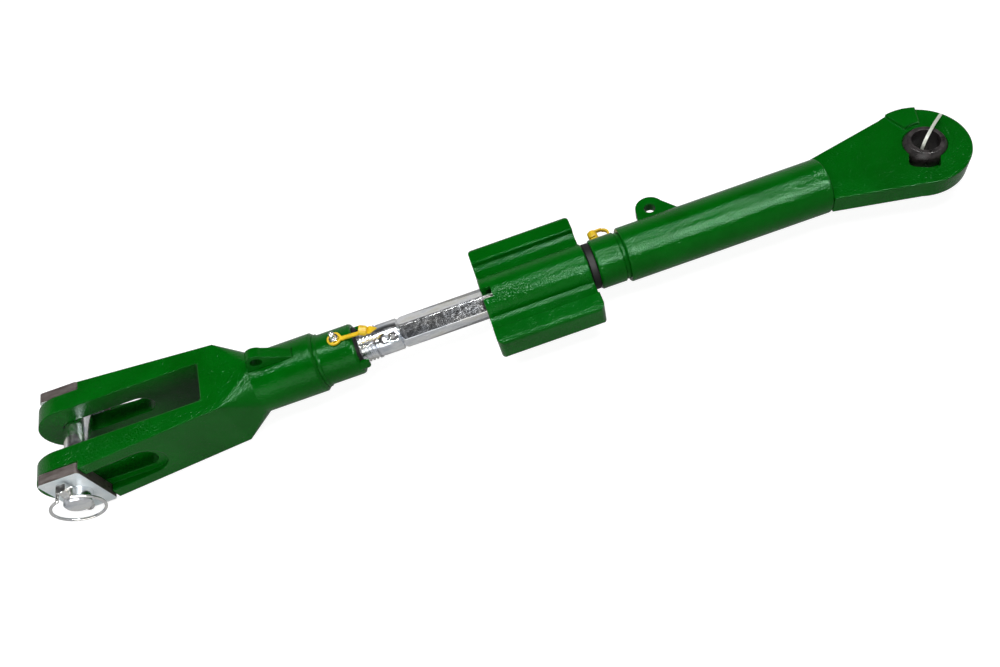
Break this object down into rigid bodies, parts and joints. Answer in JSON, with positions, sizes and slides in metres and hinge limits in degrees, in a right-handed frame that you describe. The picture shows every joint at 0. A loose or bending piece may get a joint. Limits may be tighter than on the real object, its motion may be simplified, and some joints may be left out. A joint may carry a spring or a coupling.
{
  "type": "tractor lift arm",
  "caption": "Adjustable three-point hitch lift arm: ball eye, screw with a winged sliding handle between threaded sleeves, and a slotted fork with clevis pin, side plates and linch pin.",
  "frame": {"origin": "centre of the ball in the eye", "axes": "+X along the link from the fork towards the eye's rim, +Z along the ball's bore at rest, +Y across the fork's arms towards the plate on the pin's headed end"},
  "size_m": [1.0266, 0.1376, 0.0915],
  "materials": {
    "green_paint": "gloss",
    "zinc": "bright zinc plate",
    "black_steel": "satin black phosphate",
    "black_rubber": "satin",
    "yellow_plastic": "soft satin"
  },
  "bodies": {
    "upper_link": {"eye_forging": "green_paint", "upper_tube": "green_paint", "upper_bush": "green_paint", "upper_chain_lug": "green_paint", "upper_nipple": "zinc"},
    "ball_body": {"ball": "black_steel"},
    "upper_cap_body": {"upper_cap": "yellow_plastic"},
    "ring_body": {"stop_ring": "black_rubber"},
    "screw_body": {"screw": "zinc", "roll_pin": "zinc", "upper_stop_clip": "black_steel", "lower_stop_clip": "black_steel"},
    "handle_body": {"handle": "green_paint"},
    "fork_body": {"fork": "green_paint", "lower_bush": "green_paint", "lower_seal": "black_rubber", "lower_chain_lug": "green_paint", "lower_nipple": "zinc", "clevis_pin": "zinc", "pin_plate": "zinc", "keeper_plate": "zinc"},
    "lower_cap_body": {"lower_cap": "yellow_plastic"},
    "linch_body": {"linch_pin": "zinc"},
    "bail_body": {"linch_ring": "zinc"}
  },
  "joints": [
    {"name": "ball_tilt", "type": "hinge", "parent": "upper_link", "child": "ball_body", "pos_m": [0, 0, 0], "axis": [0, 1, 0], "range_deg": [-12, 12]},
    {"name": "screw_advance", "type": "slide", "parent": "upper_link", "child": "ring_body", "axis": [-1, 0, 0], "range_m": [0, 0.072]},
    {"name": "screw_turn", "type": "hinge", "parent": "ring_body", "child": "screw_body", "pos_m": [-0.4, 0, 0], "axis": [1, 0, 0], "range_deg": [0, 6480]},
    {"name": "fork_advance", "type": "slide", "parent": "ring_body", "child": "fork_body", "axis": [-1, 0, 0], "range_m": [0, 0.072]},
    {"name": "handle_slide", "type": "slide", "parent": "screw_body", "child": "handle_body", "axis": [-1, 0, 0], "range_m": [0, 0.132]},
    {"name": "linch_pull", "type": "slide", "parent": "fork_body", "child": "linch_body", "axis": [0, 0, 1], "range_m": [0, 0.045]},
    {"name": "bail_swing", "type": "hinge", "parent": "linch_body", "child": "bail_body", "pos_m": [-0.9446, -0.062, 0.0239], "axis": [-1, 0, 0], "range_deg": [0, 118]},
    {"name": "upper_cap_turn", "type": "hinge", "parent": "upper_link", "child": "upper_cap_body", "pos_m": [-0.354, 0.03, 0], "axis": [0, 1, 0], "range_deg": [-90, 90]},
    {"name": "lower_cap_swing", "type": "hinge", "parent": "fork_body", "child": "lower_cap_body", "pos_m": [-0.6456, 0, 0.03], "axis": [0, 0, 1], "range_deg": [-40, 40]}
  ],
  "couplings": [
    {"joint": "screw_advance", "follows": "screw_turn", "m_per_rad": 0.00063662},
    {"joint": "fork_advance", "follows": "screw_turn", "m_per_rad": 0.00063662}
  ]
}
